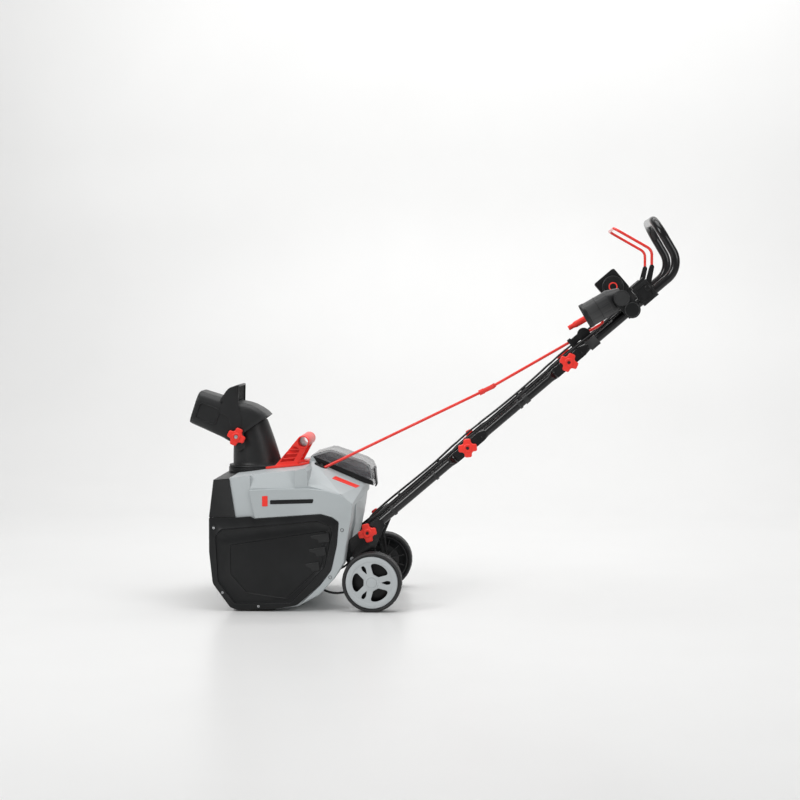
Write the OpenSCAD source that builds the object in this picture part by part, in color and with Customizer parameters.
// Cordless single-stage snow blower with a folding handle.
// +Z is up, the intake faces -X, the operator stands at +X and -Y is the operator's left.
// The ground is z = 0 and the origin is under the middle of the whole machine.

/* [Body] */
// Half width over the side panels
half_w = 240; // [238:0.5:242]
// Inside half width of the intake
mouth_half = 206; // [204:0.5:207]
// Wall of the moulded covers
wall = 3; // [2.5:0.1:3.5]
/* [Auger] */
// Auger axis, along the machine
auger_x = -425; // [-428:1:-423]
// Auger axis, above the ground
auger_z = 132; // [131:0.5:134]
// Radius at the rubber paddle tips
auger_r = 112; // [100:1:115]
/* [Chute] */
// Chute turning axis, along the machine
chute_x = -455; // [-455.5:0.5:-454.5]
// Teeth on the chute ring gear
ring_teeth = 32; // [32]
// Radius at the middle of the worm and gear mesh
mesh_r = 74.5; // [74.3:0.1:74.7]
/* [Wheels] */
// Wheel radius
wheel_r = 75; // [74:0.5:75]
// Wheel axle, along the machine
axle_x = -138; // [-139:0.5:-137]
/* [Handle] */
// Slope of the handle tubes
handle_angle = 40.5; // [40.5]
// Distance from fold knob to fold knob
fold_pitch = 332; // [331:0.5:333]
// Outside radius of the handle tubes
tube_r = 11; // [10.5:0.1:11]
// Sideways distance from the middle to each tube
tube_y = 165; // [164.5:0.5:165.5]
// Radius over the lobes of a star knob
knob_r = 25; // [22:0.5:26]

/* [Hidden] */

$fn = 64;
GREY = [0.69, 0.72, 0.73];
BLACK = [0.12, 0.13, 0.13];
GLOSS = [0.06, 0.06, 0.07];
RED = [0.92, 0.2, 0.16];
STEEL = [0.62, 0.64, 0.66];
SMOKE = [0.35, 0.35, 0.37, 0.45];

// Running clearance on a radius, and the gap between parts that move past each other
run = 0.05;
gap = 0.4;

// Handle line: u runs up the tubes, v stands off their upper side
u = [cos(handle_angle), 0, sin(handle_angle)];
v = [-sin(handle_angle), 0, cos(handle_angle)];
mid_knob = [100, 0, 410];
low_knob = mid_knob - fold_pitch * u;
top_knob = mid_knob + fold_pitch * u;
tongue_half = 13;
tongue_len = 44;
taper_len = 16;
bolt_r = 4;

// Chute and crank
collar_z = 338;
ring_root = 71;
ring_tip = 77;
worm_r = 12;
worm_turns = 3.5;
worm_pitch = 2 * PI * mesh_r / ring_teeth;
worm_mid = [chute_x, -(72 + worm_r), 320];
crank_socket = [-290, -84, 341.5];
crank_joint = [152, -104, 557];
crank_guide = [391, -112, 695];
rod_r = 3.6;
worm_dir = unit(crank_socket - worm_mid);
lower_dir = unit(crank_joint - crank_socket);
upper_dir = unit(crank_guide - crank_joint);
crank_out = unit([0, 0, 1] - upper_dir.z * upper_dir);
crank_throw = 32;
crank_elbow = crank_guide + 58 * upper_dir;
grip_front = -26;
deflector_axis = [-501.6, 428];

// Battery bay, tilted back; its frame starts at the lid's lower front edge
bay_origin = [-262, 0, 348];
bay_tilt = 23;
lid_hinge = [-304, 371];
latch_hinge = [-146.9, 341];

// Handle top
grip_reach = 367.9;
grip_top = [563.8, 981];
bail_axis = [547, 812];
bail_y = 150;
lamp_pivot = [481.4, -190, 785.9];
lamp_tilt = 30;

function unit(p) = p / norm(p);
function on_handle(a, b, y) = top_knob + a * u + b * v + [0, y, 0];
function spot(p, y) = [p[0], y, p[1]];

// A shape drawn in X and Z, filled from y0 to y1
module slab(y0, y1) {
  translate([0, y1, 0]) rotate([90, 0, 0]) linear_extrude(y1 - y0) children();
}
module both_sides() {
  children();
  mirror([0, 1, 0]) children();
}
module at_xz(p) {
  translate([p[0], 0, p[1]]) children();
}
// A round bar along Y
module y_bar(p, y0, y1, r) {
  translate([p[0], y1, p[1]]) rotate([90, 0, 0]) cylinder(h = y1 - y0, r = r);
}
// A round bar between two points
module rod(p, q, r) {
  d = q - p;
  translate(p) rotate([0, acos(d.z / norm(d)), atan2(d.y, d.x)]) cylinder(h = norm(d), r = r);
}
// A true bend from direction d1 to direction d2 round a corner
module elbow(corner, d1, d2, bend_r, r) {
  turn = acos(d1 * d2);
  b = unit(d2 - (d2 * d1) * d1);
  centre = corner - bend_r * tan(turn / 2) * d1 + bend_r * b;
  n = cross(-b, d1);
  multmatrix([
    [-b.x, d1.x, n.x, centre.x],
    [-b.y, d1.y, n.y, centre.y],
    [-b.z, d1.z, n.z, centre.z],
    [0, 0, 0, 1]
  ]) rotate_extrude(angle = turn) translate([bend_r, 0]) circle(r = r + 0.05);
}
// A bent bar along a path of points
module pipe(path, r, bend_r) {
  last = len(path) - 1;
  dirs = [for (i = [0:last - 1]) unit(path[i + 1] - path[i])];
  cuts = [for (i = [0:last])
    (i == 0 || i == last) ? 0 : bend_r * tan(acos(dirs[i - 1] * dirs[i]) / 2)];
  for (i = [0:last - 1]) {
    lap0 = i == 0 ? 0 : 0.6;
    lap1 = i == last - 1 ? 0 : 0.6;
    rod(path[i] + (cuts[i] - lap0) * dirs[i], path[i + 1] - (cuts[i + 1] - lap1) * dirs[i], r);
  }
  for (i = [1:last - 1]) elbow(path[i], dirs[i - 1], dirs[i], bend_r, r);
}
// The bends of a path and what lies between them, as a hollow tube; its straight ends are made apart
module tube_pipe(path, r, bend_r) {
  last = len(path) - 1;
  dirs = [for (i = [0:last - 1]) unit(path[i + 1] - path[i])];
  cuts = [for (i = [0:last])
    (i == 0 || i == last) ? 0 : bend_r * tan(acos(dirs[i - 1] * dirs[i]) / 2)];
  for (i = [1:last - 2]) difference() {
    rod(path[i] + (cuts[i] - 1) * dirs[i], path[i + 1] - (cuts[i + 1] - 1) * dirs[i], r);
    rod(path[i] + (cuts[i] + 1) * dirs[i], path[i + 1] - (cuts[i + 1] + 1) * dirs[i], r - 1.5);
  }
  for (i = [1:last - 1]) difference() {
    elbow(path[i], dirs[i - 1], dirs[i], bend_r, r + 0.05);
    elbow(path[i], dirs[i - 1], dirs[i], bend_r, r - 1.65);
  }
}
// Local Z along d, local Y as near to the machine's Y as it can be
module aim(p, d) {
  y = unit([0, 1, 0] - d.y * d);
  x = cross(y, d);
  multmatrix([
    [x.x, y.x, d.x, p.x],
    [x.y, y.y, d.y, p.y],
    [x.z, y.z, d.z, p.z],
    [0, 0, 0, 1]
  ]) children();
}
// Local X runs up the tubes and local Z off their upper side
module on_tubes(a = 0, b = 0) {
  translate(top_knob) rotate([0, -handle_angle, 0]) translate([a, 0, b]) children();
}
module block(a0, a1, y0, y1, b0, b1) {
  translate([a0, y0, b0]) cube([a1 - a0, y1 - y0, b1 - b0]);
}

// Cords: a smooth line through hand-set points, swept as an eight-sided tube
cord_r = 3;
cord_ref = unit([-0.6, 0.5, 0.62]);
function curve_at(p, i, t) =
  let (
    last = len(p) - 1,
    a = p[max(i - 1, 0)],
    b = p[i],
    c = p[min(i + 1, last)],
    d = p[min(i + 2, last)]
  )
  0.5 * (2 * b + (c - a) * t + (2 * a - 5 * b + 4 * c - d) * t * t
    + (3 * b - a - 3 * c + d) * t * t * t);
function smooth(p, n) = concat(
  [for (i = [0:len(p) - 2]) for (k = [0:n - 1]) curve_at(p, i, k / n)],
  [p[len(p) - 1]]
);
function tangent(p, i) = unit(p[min(i + 1, len(p) - 1)] - p[max(i - 1, 0)]);
module cord(path, steps) {
  line = smooth(path, steps);
  n = len(line);
  sides = 8;
  rings = [for (i = [0:n - 1])
    let (t = tangent(line, i), e = unit(cross(cord_ref, t)), f = cross(t, e))
    for (k = [0:sides - 1])
      line[i] + cord_r * (cos(360 * k / sides) * e + sin(360 * k / sides) * f)];
  skin = [for (i = [0:n - 2]) for (k = [0:sides - 1])
    let (a = i * sides + k, b = i * sides + (k + 1) % sides)
    each [[a, b, b + sides], [a, b + sides, a + sides]]];
  first = [for (k = [sides - 1:-1:0]) k];
  final = [for (k = [0:sides - 1]) (n - 1) * sides + k];
  polyhedron(rings, concat([first], skin, [final]), convexity = 6);
}
// Cord routes, left and right, from the housing to the handle controls
cord_lift = 17.5;
low_join = -fold_pitch - 38;
mid_join = -fold_pitch + 38;
function along(a, b, y) = on_handle(a, b, y);
left_low = [
  [-228, -149.4, 97], [-216, -149.4, 103], [-204, -149.4, 112], [-192, -149.4, 130],
  [-184, -149.4, 150], along(-700, -2, -149.4), along(-684, 12, -149.4), along(-664, 16, -150.5),
  along(-640, 17, -156), along(-600, 17.2, -160), along(-520, 14.6, -160),
  along(-450, 14.6, -160), along(-390, cord_lift, -160), along(low_join, cord_lift, -160)
];
right_low = [
  [-276, -150, 50], [-262, -150, 41], [-244, -150, 36], [-218, -150, 37], [-192, -140, 50],
  [-170, -105, 84], [-160, -50, 98], [-160, 50, 100], [-170, 115, 108], [-184, 146, 130],
  [-186, 149.4, 148], along(-700, -2, 149.4), along(-684, 12, 149.4), along(-664, 16, 150.5),
  along(-640, 17, 156), along(-600, 17.2, 160), along(-520, 15.4, 160), along(-450, 14.6, 160),
  along(-390, cord_lift, 160),
  along(low_join, cord_lift, 160)
];
function mid_route(y) = [
  along(mid_join, cord_lift, y), along(mid_join + 18, cord_lift, y), along(-230, 15.4, y),
  along(-150, 14.6, y), along(-90, 15.8, y), along(-56, cord_lift, y), along(-38, cord_lift, y)
];
left_top = [
  along(38, cord_lift, -160), along(60, cord_lift, -160), along(100, 15.5, -160),
  along(140, 15.5, -160), along(146.5, 15.5, -160)
];
right_top = [
  along(38, cord_lift, 160), along(60, cord_lift, 160), along(110, 22, 160),
  along(150, 19, 160), along(172, 26, 160), along(183.6, 30, 160)
];
function bridge_route(a, y) = [
  along(a - 37.5, cord_lift, y), along(a - 20, cord_lift, y), along(a, cord_lift + 1.5, y),
  along(a + 20, cord_lift, y), along(a + 37.5, cord_lift, y)
];

// ---- Body covers ----
// Side outline of the grey housing
housing_line = [
  [-496.6, 335], [-426, 344.5], [-330, 354.5], [-307, 361], [-300, 352], [-299, 318],
  [-290, 311], [-215, 296], [-186, 272], [-190, 230], [-202, 164], [-207, 125], [-230, 86],
  [-269, 43.5], [-322, 14.5], [-379, 5.5], [-480, 8], [-530, 72], [-538, 150], [-538, 236.5],
  [-481.2, 236.5]
];
housing_room = [
  [-560, 310], [-493, 332], [-426, 341.3], [-330, 351.3], [-309, 357], [-303.4, 350],
  [-302.4, 315], [-291, 308], [-217, 293], [-189.4, 270.5], [-193.2, 230], [-205, 165],
  [-210, 126.5], [-232, 88.5], [-270.5, 46.8], [-323, 17.8], [-384, 8.4], [-384, -5], [-560, -5]
];
rear_line = [[-240, 290], [-176, 278], [-184.5, 262], [-186.5, 215], [-198, 165], [-212, 125], [-240, 120]];
rear_room = [
  [-244, 287], [-180, 274.6], [-187.7, 261], [-189.7, 216], [-201, 166.5], [-215, 128.5], [-244, 124]
];
shoulder_low = [[-299.2, 296], [-299.2, 317], [-290, 310.8], [-215, 295.8], [-187, 271.8], [-187, 262]];
shoulder_top = [[-303, 340], [-306, 366], [-300, 366], [-262, 349], [-167, 308.5], [-169, 280], [-280, 300]];

module shoulder(inset) {
  hull() {
    slab(-231 + inset, 231 - inset) offset(delta = -inset) polygon(shoulder_low);
    slab(-78 + inset, 78 - inset) offset(delta = -inset) polygon(shoulder_top);
  }
}
module bay(a0, a1, half, c0, c1) {
  translate(bay_origin) rotate([0, bay_tilt, 0]) block(a0, a1, -half, half, c0, c1);
}
module panel_line() {
  polygon([
    [-547.6, 236.5], [-481, 236.5], [-442.5, 239.6], [-431.9, 233.3], [-265.5, 245.6],
    [-238, 238], [-221.3, 226.6], [-226, 168.5], [-240, 105.5], [-268, 68], [-326, 16.2],
    [-380, 6.3], [-476, 3], [-495, 9.7], [-539, 70.2], [-547.6, 150]
  ]);
}
module panel_pocket(grow) {
  offset(delta = grow) polygon([
    [-518, 204], [-272, 227], [-241, 215], [-238, 198], [-256, 112], [-341, 26],
    [-479, 20], [-523, 76], [-531, 189]
  ]);
}
module front_line() {
  polygon([[-536, 331], [-497.2, 334.6], [-481.9, 237.2], [-547.6, 237.2]]);
}
flange_tilt = 39;
flange_at = [-301, -84, 338];
module flange_cut(r, h) {
  translate(flange_at) rotate([0, 90 - flange_tilt, 0]) translate([0, 0, -3]) cylinder(h = h, r = r);
}

// The upper side of the housing leans in, between the front band and a rib
module side_slope(grow) {
  translate([-444 - grow, -232.6, 309]) multmatrix([[0, 0, 1, 0], [1, 0, 0, 0], [0, 1, 0, 0], [0, 0, 0, 1]])
    linear_extrude(112 + 2 * grow) offset(delta = grow) polygon([[0, 0], [18.1, 43], [18.1, 70], [-20, 70], [-20, 0]]);
}
module main_housing() {
  color(GREY) difference() {
    union() {
      slab(-232, 232) polygon(housing_line);
      slab(-146, 146) polygon(rear_line);
      shoulder(0);
      both_sides() slab(-77.8, -72.6) polygon([
        [-311, 362], [-309.5, 373], [-304, 377.5], [-299, 374], [-290, 358], [-300, 352]
      ]);
    }
    difference() {
      slab(-229, 229) polygon(housing_room);
      both_sides() side_slope(wall);
    }
    slab(-143, 143) polygon(rear_room);
    shoulder(wall);
    both_sides() slab(-240, -227) panel_pocket(6);
    translate([chute_x, 0, 322]) cylinder(h = 60, r = 76.4);
    translate([chute_x, 0, 312]) cylinder(h = 15, r = ring_tip + 0.8);
    bay(3.2, 98.8, 43.7, -60, 40);
    flange_cut(16.5, 60);
    y_bar(lid_hinge, -80, 80, 2.5);
    rod([-330, -84, 336.3], crank_socket, 4.9);
    rod([-238, -149.4, 92], [-214, -149.4, 104], 3.9);
    rod([-290, -150, 59], [-257, -150, 37.8], 4.1);
    both_sides() side_slope(0);
  }
  color(STEEL) both_sides() y_bar(lid_hinge, -78, -67, 2.5);
}
module front_cap() {
  color(BLACK) difference() {
    union() {
      difference() {
        slab(-236, 236) front_line();
        slab(-228, 228) polygon([[-531.5, 326.8], [-500.6, 329.8], [-470, 230], [-543, 230]]);
        slab(-228, 228) polygon([[-520, 326], [-480, 326], [-470, 230], [-520, 230]]);
        slab(-mouth_half, mouth_half) polygon([[-560, 200], [-560, 300], [-470, 300], [-470, 200]]);
      }
      both_sides() slab(mouth_half + 3.2, 226) polygon([
        [-547.4, 240], [-542.6, 240], [-542.6, 150], [-534, 73], [-492, 15], [-496, 11],
        [-539, 70], [-547.4, 150]
      ]);
    }
    translate([chute_x, 0, 322]) cylinder(h = 60, r = 76.4);
    translate([chute_x, 0, 312]) cylinder(h = 15, r = ring_tip + 0.8);
  }
}
module side_panels() {
  color(BLACK) both_sides() difference() {
    union() {
      slab(-half_w, -232.3) panel_line();
      slab(-232.5, -226.8) panel_pocket(4);
    }
    slab(-half_w - 1, -229.4) panel_pocket(0);
  }
}
module scoop_line(grow) {
  r = 120 + grow;
  at_r = auger_x + r * cos(50);
  translate([auger_x, auger_z]) circle(r = r, $fn = 96);
  polygon([
    [-541, auger_z - r], [auger_x, auger_z - r], [auger_x, auger_z],
    [at_r, auger_z + r * sin(50)], [-368 + grow, 300 + grow], [-541, 300 + grow]
  ]);
}
module auger_scoop() {
  color(BLACK) difference() {
    slab(-mouth_half - wall, mouth_half + wall) intersection() {
      scoop_line(wall);
      polygon([
        [-494, 8.9], [-250, 8.9], [-250, 400], [-522.8, 400], [-541, 243], [-541.5, 150], [-533, 73],
        [-490, 14]
      ]);
    }
    slab(-mouth_half, mouth_half) scoop_line(0);
    slab(-mouth_half, mouth_half) polygon([[-600, 12], [-425, 12], [-425, 300], [-600, 300]]);
    translate([chute_x, 0, 280]) cylinder(h = 40, r = 55);
    y_bar([auger_x, auger_z], -220, 220, 15.1);
  }
}
module scraper_bar() {
  color(STEEL) slab(-mouth_half, mouth_half) polygon([
    [-482, 0], [-384, 0], [-384, 8.6], [-474, 8.6]
  ]);
}
module chute_collar() {
  color(BLACK) translate([chute_x, 0, 0]) rotate_extrude() polygon([
    [66.6, 329.5], [73, 329.5], [76, 333], [76, 345.5], [73.5, 347], [66.6, 347]
  ]);
}
module carry_handle() {
  color(RED) difference() {
    union() {
      slab(-80, 80) polygon([
        [-424, 345.3], [-330, 355.1], [-312, 360.2], [-312, 364.7], [-330, 360.5], [-424, 351]
      ]);
      both_sides() slab(-76, -60) polygon([
        [-402, 352], [-342, 358.5], [-314, 411], [-316, 426], [-342, 424]
      ]);
      y_bar([-328, 415.5], -77, 77, 16);
    }
    y_bar([-328, 415.5], -90, 90, 13);
    both_sides() slab(-90, -66) polygon([[-387, 363], [-352, 366], [-336, 396], [-348, 404], [-362, 404]]);
    translate([chute_x, 0, 340]) cylinder(h = 60, r = 80);
  }
}
module battery_tray() {
  color(BLACK) difference() {
    bay(3.6, 98.4, 43.3, -54, -3);
    bay(5, 97, 40.6, -51.5, 10);
  }
}

// ---- Drive ----
motor_at = [-250, 205];
pulley_face = [-222, -214];
module drive_motor() {
  color(STEEL) difference() {
    union() {
      y_bar(motor_at, -140, -28, 41);
      y_bar(motor_at, -28, -16, 20);
      y_bar(motor_at, -149, -140, 18);
      slab(-153.2, -148.2) intersection() {
        offset(delta = -0.4) polygon(housing_room);
        polygon([[-292, 172], [-272, 152], [-180, 152], [-180, 262], [-292, 262]]);
      }
    }
    y_bar(motor_at, -160, -100, 5 + run);
  }
}
module control_board() {
  color([0.1, 0.35, 0.2]) {
    translate([-320, 212, 196]) cube([84, 2, 50]);
    for (i = [0:2]) translate([-314 + 27 * i, 200, 206]) cube([16, 12.1, 28]);
    for (x = [-315, -241]) for (z = [201, 241]) y_bar([x, z], 213.9, 226.6, 3);
  }
}
module belt_loop(grow) {
  hull() {
    translate([auger_x, auger_z]) circle(r = 48 + grow, $fn = 48);
    translate(motor_at) circle(r = 11 + grow, $fn = 32);
  }
}
module drive_belt() {
  color(BLACK) slab(-221, -215) difference() {
    belt_loop(3.4);
    belt_loop(0.5);
  }
}
module auger_bearings() {
  color(STEEL) both_sides() slab(-209.5, -203.5) translate([auger_x, auger_z]) difference() {
    circle(r = 15);
    circle(r = 8 + run);
  }
}
module auger_pulley() {
  color(STEEL) difference() {
    union() {
      y_bar([auger_x, auger_z], -221.4, -214.6, 48);
      y_bar([auger_x, auger_z], -222.6, -221.4, 51);
      y_bar([auger_x, auger_z], -214.6, -213.4, 51);
    }
    y_bar([auger_x, auger_z], -230, -200, 8);
    for (i = [0:4]) translate([auger_x, 0, auger_z]) rotate([0, 72 * i, 0])
      translate([-auger_x, 0, -auger_z]) y_bar([auger_x + 30, auger_z], -230, -200, 9);
  }
}
module motor_pulley() {
  color(STEEL) {
    y_bar(motor_at, -223, -213, 11);
    y_bar(motor_at, -213.01, -101, 5);
  }
}
// A ribbon wound round the auger axis: flat in the middle, twisted towards both ends
twist_turn = 75;
flat_half = 55;
module ribbon(radii, thick, shift, half_len, start, flip) {
  steps = 26;
  m = len(radii);
  edge = concat([for (r = radii) [r, -1]], [for (i = [m - 1:-1:0]) [radii[i], 1]]);
  n = 2 * m;
  rows = [for (i = [0:steps])
    let (
      y = -half_len + 2 * half_len * i / steps,
      turn = start + twist_turn * max(0, abs(y) - flat_half) / (198 - flat_half)
    )
    for (c = edge)
      let (side = shift + c[1] * thick / 2)
      [auger_x + c[0] * cos(turn) - side * sin(turn), y, auger_z + c[0] * sin(turn) + side * cos(turn)]];
  skin = [for (i = [0:steps - 1]) for (k = [0:n - 1])
    let (a = n * i + k, b = n * i + (k + 1) % n)
    each flip ? [[a, b, a + n], [b, b + n, a + n]] : [[a, b + n, a + n], [a, b, b + n]]];
  first = [for (k = [n - 1:-1:0]) k];
  final = [for (k = [0:n - 1]) n * steps + k];
  polyhedron(rows, concat([first], skin, [final]), convexity = 6);
}
module auger_shaft() {
  color(GLOSS) {
    difference() {
      y_bar([auger_x, auger_z], -223, 214, 8);
      y_bar([auger_x, auger_z], -199, 199, 5);
    }
    difference() {
      union() {
        y_bar([auger_x, auger_z], -200, 200, 15);
        for (s = [20, 200]) ribbon([11, 70], 2.2, -7.5, 198, s, false);
      }
      y_bar([auger_x, auger_z], -201, 201, 8.01);
    }
  }
}
module auger_paddles() {
  color(BLACK) for (s = [20, 200]) ribbon([36, 70, auger_r], 7, 0, 198, s, true);
}

// ---- Chute ----
module chute_ring_gear() {
  color(BLACK) translate([chute_x, 0, 0]) difference() {
    union() {
      translate([0, 0, 316]) cylinder(h = 8, r = ring_tip);
      translate([0, 0, 316]) cylinder(h = 31, r = 66);
    }
    translate([0, 0, 300]) cylinder(h = 60, r = 56);
    for (i = [0:ring_teeth - 1]) rotate([0, 0, 360 * i / ring_teeth])
      translate([ring_root, -4.5, 310]) cube([20, 9, 20]);
  }
}
module chute_body() {
  hull() {
    translate([chute_x, 0, 350]) cylinder(h = 1, r = 64, $fn = 48);
    translate([-473.5, 0, 447]) rotate([0, -27.3, 0]) scale([0.86, 1, 1])
      cylinder(h = 1, r = 57, center = true, $fn = 48);
  }
}
module chute_bore() {
  hull() {
    translate([chute_x, 0, 341]) cylinder(h = 9, r = 60.6, $fn = 48);
    translate([-474.5, 0, 449]) rotate([0, -27.3, 0]) scale([0.86, 1, 1])
      cylinder(h = 3, r = 53.2, center = true, $fn = 48);
  }
}
module chute_tube() {
  color(BLACK) difference() {
    union() {
      translate([chute_x, 0, 347.4]) cylinder(h = 5, r = 74.5);
      chute_body();
      both_sides() {
        y_bar(deflector_axis, -61.5, -48, 14);
        slab(-61.5, -48) polygon([[-514, 423], [-490, 430], [-470, 400], [-507, 386]]);
      }
    }
    chute_bore();
    y_bar(deflector_axis, -80, 80, 4 + run);
  }
}
hood_line = [
  [-422.5, 480], [-442, 497], [-462, 508.5], [-490, 516.5], [-512, 519.5], [-538, 527],
  [-597, 545], [-629, 474], [-624, 461], [-537, 424], [-520, 411], [-489, 427], [-475, 440],
  [-437, 472]
];
hood_room = [
  [-429, 481], [-444, 493.5], [-463, 504.5], [-490, 512.5], [-512, 515.5], [-538, 523],
  [-604, 543], [-640, 470], [-622, 466], [-538, 429.5], [-530, 400], [-480, 400], [-430, 460]
];
module deflector_hood() {
  color(BLACK) difference() {
    union() {
      difference() {
        slab(-66, 66) polygon(hood_line);
        slab(-62, 62) polygon(hood_room);
      }
      both_sides() y_bar(deflector_axis, -66, -62, 17);
      difference() {
        slab(-64, 64) polygon([[-545, 522], [-522, 553], [-500, 561], [-497, 561], [-498, 514], [-520, 514]]);
        slab(-58, 58) polygon([[-536, 527], [-519, 549], [-505, 556], [-490, 556], [-490, 521.5], [-520, 519]]);
        slab(-70, 70) polygon(hood_room);
      }
      for (i = [-4:4]) slab(12 * i - 1.2, 12 * i + 1.2)
        polygon([[-532, 525], [-517, 550], [-503, 557], [-499.5, 557], [-500.5, 520.5], [-518, 518]]);
    }
    y_bar(deflector_axis, -80, 80, 4 + run);
  }
}

// ---- Knobs ----
module star() {
  difference() {
    circle(r = knob_r);
    for (i = [0:3]) rotate(45 + 90 * i) translate([knob_r + 6, 0]) circle(r = 17);
  }
}
// A star knob on the left side, its inner face at y = face
module star_knob(p, face, turn, hole_r) {
  color(RED) difference() {
    union() {
      slab(face - 12, face - 3) translate(p) rotate(turn) star();
      y_bar(p, face - 15, face, 13);
    }
    if (hole_r > 0) y_bar(p, face - 20, face + 1, hole_r);
  }
}
module chute_knob() {
  star_knob(deflector_axis, -66.4, 65, 0);
  color(STEEL) y_bar(deflector_axis, -66.41, -49, 4);
}
module chute_knob_left() { chute_knob(); }
module chute_knob_right() { mirror([0, 1, 0]) chute_knob(); }
plate_face = 181.6;
tongue_face = 176;
module low_knob_side() { star_knob([low_knob.x, low_knob.z], -plate_face - gap, 22, bolt_r + run); }
module low_knob_left() { low_knob_side(); }
module low_knob_right() { mirror([0, 1, 0]) low_knob_side(); }
module mid_knob_side() { star_knob([mid_knob.x, mid_knob.z], -tongue_face - gap, 8, bolt_r + run); }
module mid_knob_left() { mid_knob_side(); }
module mid_knob_right() { mirror([0, 1, 0]) mid_knob_side(); }
module top_knob_side() { star_knob([top_knob.x, top_knob.z], -tongue_face - gap, 68, bolt_r + run); }
module top_knob_left() { top_knob_side(); }
module top_knob_right() { mirror([0, 1, 0]) top_knob_side(); }

// ---- Crank ----
module worm_thread() {
  per_turn = 20;
  steps = worm_turns * per_turn;
  profile = [[5.4, -1.9], [worm_r, -1.2], [worm_r, 1.2], [5.4, 1.9]];
  points = [for (i = [0:steps])
    let (turn = 360 * (i / per_turn - worm_turns / 2))
    for (c = profile) [c[0] * cos(turn), c[0] * sin(turn), c[1] + worm_pitch * turn / 360]];
  skin = [for (i = [0:steps - 1]) for (k = [0:3])
    let (a = 4 * i + k, b = 4 * i + (k + 1) % 4)
    each [[a, b + 4, a + 4], [a, b, b + 4]]];
  polyhedron(points, concat([[3, 2, 1, 0]], skin, [[for (k = [0:3]) 4 * steps + k]]), convexity = 10);
}
module crank_worm() {
  reach = norm(crank_socket - worm_mid);
  color(BLACK) difference() {
    union() {
      aim(worm_mid, worm_dir) {
        rotate([0, 0, 90]) worm_thread();
        translate([0, 0, -worm_pitch * worm_turns / 2 - 4]) cylinder(h = worm_pitch * worm_turns + 8, r = 6);
        translate([0, 0, 20]) cylinder(h = reach - 26, r = 4.5);
      }
      aim(crank_socket, worm_dir) translate([0, 0, -8]) cylinder(h = 14, r = 8);
    }
    aim(crank_socket, worm_dir) {
      translate([0, 0, -5.5]) cylinder(h = 12, r = 5.6);
      translate([0, 0, 1]) cylinder(h = 12, r1 = 5.6, r2 = 12);
    }
  }
}
module crank_bush() {
  color(BLACK) difference() {
    flange_cut(16.2, 6);
    aim(flange_at + [-1, 0, 2], worm_dir) translate([0, 0, -40]) cylinder(h = 80, r = 5.2);
    rod(worm_mid, crank_socket, 4.5 + 0.3);
    rod(crank_socket - 9 * worm_dir, crank_socket + 9 * worm_dir, 9);
  }
}
module crank_rod_lower() {
  color(RED) {
    aim(crank_socket, lower_dir) {
      sphere(r = 5.2);
      cylinder(h = norm(crank_joint - crank_socket) - 20, r = rod_r);
    }
    aim(crank_joint, lower_dir) difference() {
      translate([0, 0, -28]) cylinder(h = 42, r = 7);
      translate([-10, -4, -14]) cube([20, 8, 60]);
    }
  }
}
module crank_rod_upper() {
  color(RED) {
    aim(crank_joint, upper_dir) translate([-5.5, -2.5, 0]) cube([11, 5, 18]);
    pipe([
      crank_joint + 16 * upper_dir, crank_elbow, crank_elbow + crank_throw * crank_out,
      crank_guide + crank_throw * crank_out + (grip_front + 4) * upper_dir
    ], rod_r, 9);
  }
}
module crank_grip() {
  color(RED) aim(crank_guide + crank_throw * crank_out, upper_dir) rotate_extrude() polygon([
    [rod_r + run, grip_front], [5.6, grip_front], [6.2, grip_front + 2], [6.2, -12], [8.2, -6],
    [8.2, 34], [6.5, 42], [rod_r + run, 42]
  ]);
}

// ---- Battery ----
module battery_lid() {
  color(SMOKE) {
    difference() {
      slab(-72, 72) polygon([
        [-305.5, 368.5], [-309, 377], [-302, 384], [-262, 395.5], [-250, 394.5], [-172, 368],
        [-156, 357], [-149, 341], [-145.5, 303.5], [-165.5, 309.2], [-262, 350]
      ]);
      slab(-69.5, 69.5) polygon([
        [-300, 371], [-300, 381.5], [-262, 392.5], [-250, 391.7], [-173, 365.3], [-158.3, 355],
        [-151.6, 340], [-149, 305], [-149, 290], [-262, 340]
      ]);
      both_sides() y_bar(lid_hinge, -80, -66.5, 2.5 + run);
    }
    both_sides() difference() {
      slab(-22.4, -18.4) polygon([[-151, 346], [-145.5, 344.6], [-144.2, 341], [-145.8, 338], [-149.6, 337.4]]);
      y_bar(latch_hinge, -24, -17, 1.6 + run);
    }
  }
}
module lid_latch() {
  color(BLACK) {
    slab(-18, 18) polygon([
      [-148.4, 341], [-145.4, 341], [-141, 302], [-143.5, 296], [-147, 297], [-144.6, 303]
    ]);
    y_bar(latch_hinge, -21, 21, 1.6);
  }
}
module battery_pack() {
  color(BLACK) {
    bay(6, 96, 39.6, -50.5, 8);
    bay(16, 86, 30, 8.01, 20);
  }
}

// ---- Frame and wheels ----
module frame_plates() {
  color(BLACK) both_sides() difference() {
    slab(-plate_face, -plate_face + 4) difference() {
      union() {
        polygon([
          [-203, 112], [-150, 60], [-124, 66], [-134, 152], [-108, 215], [-128, 232], [-212, 166], [-212, 140]
        ]);
        translate([axle_x, wheel_r]) circle(r = 16);
      }
      polygon([[-184, 124], [-154, 98], [-144, 102], [-148, 148]]);
      offset(delta = gap) polygon(housing_line);
    }
    y_bar([axle_x, wheel_r], -200, -170, 6 + run);
    y_bar([low_knob.x, low_knob.z], -200, -170, bolt_r + run);
  }
}
module wheel_axle() {
  color(STEEL) y_bar([axle_x, wheel_r], -232, 232, 6);
}
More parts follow.
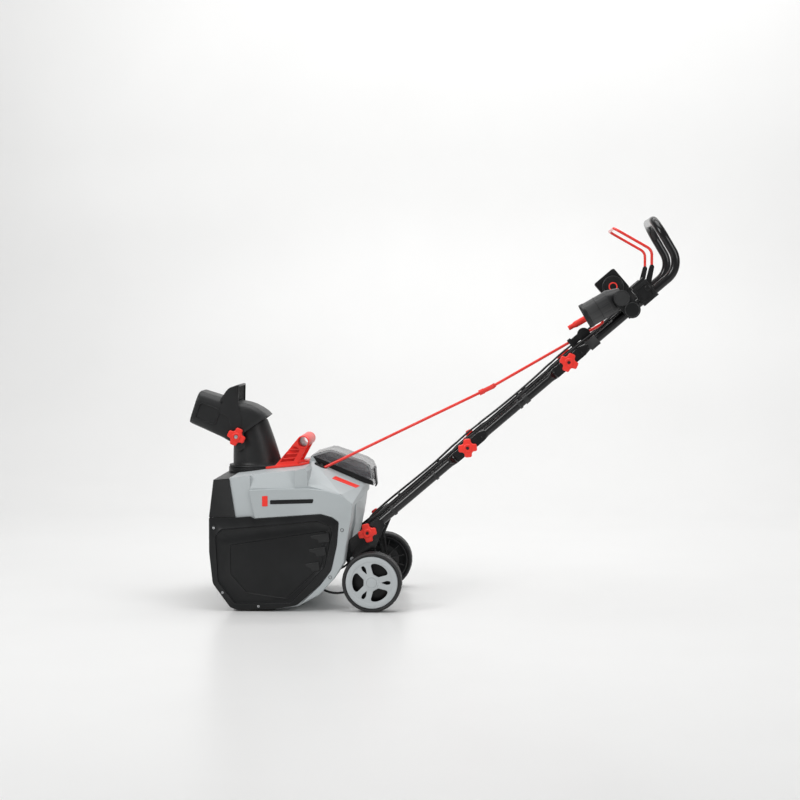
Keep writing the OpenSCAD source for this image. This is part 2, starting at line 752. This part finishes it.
// Flat end of a tube: plate from y0 to y1, the round end of the plate on a fold bolt
module tongue(y0, y1, dir) {
  difference() {
    union() {
      slab(y0, y1) {
        circle(r = tongue_half);
        translate([dir > 0 ? 0 : -tongue_len, -tongue_half]) square([tongue_len, 2 * tongue_half]);
      }
      hull() {
        translate([dir * tongue_len - 0.5, y0, -tongue_half]) cube([1, y1 - y0, 2 * tongue_half]);
        translate([dir * (tongue_len + taper_len), -tube_y, 0]) rotate([0, 90, 0])
          cylinder(h = 1, r = tube_r, center = true, $fn = 32);
      }
    }
    rotate([90, 0, 0]) cylinder(h = 400, r = bolt_r + run);
  }
}
module straight_tube(a0, a1) {
  difference() {
    translate([a0, -tube_y, 0]) rotate([0, 90, 0]) cylinder(h = a1 - a0, r = tube_r);
    translate([a0 + 2, -tube_y, 0]) rotate([0, 90, 0]) cylinder(h = a1 - a0 - 4, r = tube_r - 1.5);
  }
}
inner_face = -tube_y + 0.8;
outer_face = -tube_y - 0.8;
module lower_tubes() {
  color(GLOSS) both_sides() on_tubes(-2 * fold_pitch) difference() {
    union() {
      straight_tube(-50, fold_pitch - tongue_len - taper_len);
      translate([fold_pitch, 0, 0]) tongue(inner_face, -tube_y + tube_r, -1);
    }
    rotate([90, 0, 0]) cylinder(h = 400, r = bolt_r + run);
  }
}
module mid_tubes() {
  color(GLOSS) both_sides() {
    on_tubes(-fold_pitch) {
      tongue(-tongue_face, outer_face, 1);
      straight_tube(tongue_len + taper_len, fold_pitch - tongue_len - taper_len);
    }
    on_tubes() tongue(inner_face, -tube_y + tube_r, -1);
  }
}
module fold_bolt(p, outer) {
  y_bar([p.x, p.z], -outer, -153.9, bolt_r);
  y_bar([p.x, p.z], -153.91, -149.5, 9);
}
module lower_bolts() {
  color(STEEL) both_sides() {
    fold_bolt(low_knob, plate_face + 13);
    fold_bolt(mid_knob, tongue_face + 13);
  }
}
module mid_bolts() {
  color(STEEL) both_sides() fold_bolt(top_knob, tongue_face + 13);
}
module wheel() {
  color(BLACK) difference() {
    union() {
      slab(-238, -194) translate([axle_x, wheel_r]) difference() {
        circle(r = wheel_r);
        circle(r = 66);
      }
      slab(-205, -201) translate([axle_x, wheel_r]) circle(r = 66.2);
      y_bar([axle_x, wheel_r], -232, -186, 13);
      for (i = [0:11]) translate([axle_x, 0, wheel_r]) rotate([0, 30 * i + 15, 0])
        block(45, 66.1, -232, -196, -1.2, 1.2);
    }
    y_bar([axle_x, wheel_r], -250, -180, 6 + run);
  }
}
module wheel_cover() {
  color(GREY) slab(-239.5, -232.4) translate([axle_x, wheel_r]) difference() {
    circle(r = 65.6);
    for (i = [0:2]) rotate(60 + 120 * i) {
      intersection() {
        difference() {
          circle(r = 47);
          circle(r = 22);
        }
        polygon([[0, 0], [60, 26], [60, -26]]);
      }
    }
    for (i = [0:2]) rotate(120 * i) translate([30, 0]) circle(r = 4.5);
  }
}
module wheel_left() { wheel(); }
module wheel_right() { mirror([0, 1, 0]) wheel(); }
module wheel_cover_left() { wheel_cover(); }
module wheel_cover_right() { mirror([0, 1, 0]) wheel_cover(); }

// ---- Upper handle ----
module upper_tube() {
  corner = on_handle(grip_reach, 0, -tube_y);
  top = spot(grip_top, -tube_y);
  turn = acos(u * unit(top - corner));
  function other(p) = [p.x, -p.y, p.z];
  color(GLOSS) {
    both_sides() on_tubes() {
      tongue(-tongue_face, outer_face, 1);
      straight_tube(tongue_len + taper_len, grip_reach - 55 * tan(turn / 2) + 1);
    }
    tube_pipe([corner - 100 * u, corner, top, other(top), other(corner), other(corner - 100 * u)], tube_r, 55);
  }
}
module tube_clamp(a0, a1, y0, y1, b0, b1) {
  difference() {
    block(a0, a1, y0, y1, b0, b1);
    translate([a0 - 1, -tube_y, 0]) rotate([0, 90, 0]) cylinder(h = a1 - a0 + 2, r = tube_r + run);
  }
}
module rod_guide() {
  color(BLACK) difference() {
    on_tubes() {
      tube_clamp(64, 92, -180.5, -152.4, -15, 11.6);
      block(31, 66, -153.6, -150.6, -9, 8);
      block(31, 41.5, -153.6, -103, -9, 8);
      block(31, 41.5, -119, -103, 7.9, 43);
      block(41.4, 64, -119, -103, 22, 39);
      slab(-124, -100) translate([74.3, 27.8]) circle(r = 16.5);
    }
    rod(crank_joint, crank_elbow, rod_r + run);
  }
}
lamp_a = 203;
module lamp_bracket() {
  color(BLACK) {
    on_tubes() difference() {
      union() {
        tube_clamp(185, 221, -181.5, -149, -15, 15);
        block(150, 186, -176, -152, 12.5, 16.4);
      }
      for (i = [0:2]) block(153 + 10 * i, 159 + 10 * i, -177, -172, 10, 20);
    }
    y_bar([on_handle(lamp_a, 0, 0).x, on_handle(lamp_a, 0, 0).z], -221.2, -181.4, 12);
    difference() {
      slab(-227, -221.2) hull() {
        translate([lamp_pivot.x, lamp_pivot.z]) circle(r = 21, $fn = 40);
        translate([on_handle(lamp_a, 0, 0).x, on_handle(lamp_a, 0, 0).z]) circle(r = 21, $fn = 40);
      }
      y_bar([lamp_pivot.x, lamp_pivot.z], -240, -210, 6 + run);
    }
    y_bar([on_handle(lamp_a, 0, 0).x, on_handle(lamp_a, 0, 0).z], -231, -226.9, 18.5);
  }
}
module lamp_frame() {
  translate(lamp_pivot) rotate([0, -lamp_tilt, 0]) children();
}
module lamp_body() {
  color(BLACK) lamp_frame() difference() {
    union() {
      translate([-102, 0, 5.3]) rotate([0, 90, 0]) cylinder(h = 78, r = 31);
      translate([-24.1, 0, 5.3]) rotate([0, 90, 0]) cylinder(h = 30, r1 = 31, r2 = 21);
      rotate([90, 0, 0]) cylinder(h = 30, r = 19.5);
      rotate([90, 0, 0]) cylinder(h = 37.5, r = 6);
      translate([0, -37.4, 0]) rotate([90, 0, 0]) cylinder(h = 3.6, r = 19.3);
    }
    translate([-103, 0, 5.3]) rotate([0, 90, 0]) cylinder(h = 49, r = 28.5);
  }
}
module lamp_lens() {
  color([0.85, 0.9, 0.95, 0.5]) lamp_frame() translate([-98, 0, 5.3]) rotate([0, 90, 0])
    cylinder(h = 3, r = 28.3);
}
module bail_brackets() {
  color(BLACK) both_sides() difference() {
    on_tubes() {
      tube_clamp(234, 279, -188, -154.6, -15, 35.4);
    }
    y_bar(bail_axis, -200, -140, 4 + run);
  }
  color(BLACK) on_tubes() block(238, 276, -187, -156, 35.3, 43);
}
module bail_levers() {
  color(GLOSS) both_sides() difference() {
    union() {
      slab(-153.8, -146.2) hull() {
        translate(bail_axis) circle(r = 8, $fn = 32);
        translate([558.6, 864]) circle(r = 6, $fn = 32);
      }
      y_bar(bail_axis, -170, -153.7, 4);
    }
    rod([558.6, -bail_y, 854], [558.6, -bail_y, 900], 3.5);
  }
}
module bail_bar() {
  bend = spot([558.6, 907], -bail_y);
  tip = spot([464, 961], -bail_y);
  foot = spot([558.6, 854], -bail_y);
  function other(p) = [p.x, -p.y, p.z];
  color(RED) pipe([foot, bend, tip, other(tip), other(bend), other(foot)], 3.5, 22);
}
module control_box() {
  color(BLACK) on_tubes() difference() {
    union() {
      block(194, 234 - gap, 150, 180, -15, 15);
      block(198, 230, 150, 178, 14.9, 40);
      slab(128, 178) offset(r = 6) translate([188, 42]) square([55, 55]);
      block(184, 200, 150, 170, 24, 40);
    }
    translate([194 - 1, tube_y, 0]) rotate([0, 90, 0]) cylinder(h = 60, r = tube_r + run);
    slab(127, 138) translate([216, 66]) circle(r = 24.3);
  }
}
module start_button() {
  color(BLACK) on_tubes() slab(122, 133) translate([216, 66]) circle(r = 24);
}

// ---- Cords ----
module lower_cables() {
  color(BLACK) {
    cord(left_low, 2);
    cord(right_low, 2);
  }
}
module mid_cables() {
  color(BLACK) both_sides() cord(mid_route(-160), 3);
}
module upper_cables() {
  color(BLACK) {
    cord(left_top, 2);
    cord(right_top, 3);
  }
}
module cable_bridge_mid() {
  color(BLACK) both_sides() cord(bridge_route(-fold_pitch, -160), 2);
}
module cable_bridge_top() {
  color(BLACK) both_sides() cord(bridge_route(0, -160), 2);
}

main_housing();
front_cap();
side_panels();
auger_scoop();
scraper_bar();
chute_collar();
carry_handle();
battery_tray();
drive_motor();
control_board();
drive_belt();
auger_bearings();
crank_bush();
frame_plates();
wheel_axle();
lower_tubes();
lower_bolts();
lower_cables();
auger_shaft();
auger_paddles();
auger_pulley();
motor_pulley();
chute_ring_gear();
chute_tube();
deflector_hood();
chute_knob_left();
chute_knob_right();
crank_worm();
crank_rod_lower();
crank_rod_upper();
crank_grip();
low_knob_left();
low_knob_right();
mid_knob_left();
mid_knob_right();
top_knob_left();
top_knob_right();
battery_lid();
lid_latch();
battery_pack();
wheel_left();
wheel_cover_left();
wheel_right();
wheel_cover_right();
mid_tubes();
mid_bolts();
mid_cables();
upper_tube();
rod_guide();
lamp_bracket();
bail_brackets();
control_box();
start_button();
upper_cables();
bail_bar();
bail_levers();
lamp_body();
lamp_lens();
cable_bridge_mid();
cable_bridge_top();
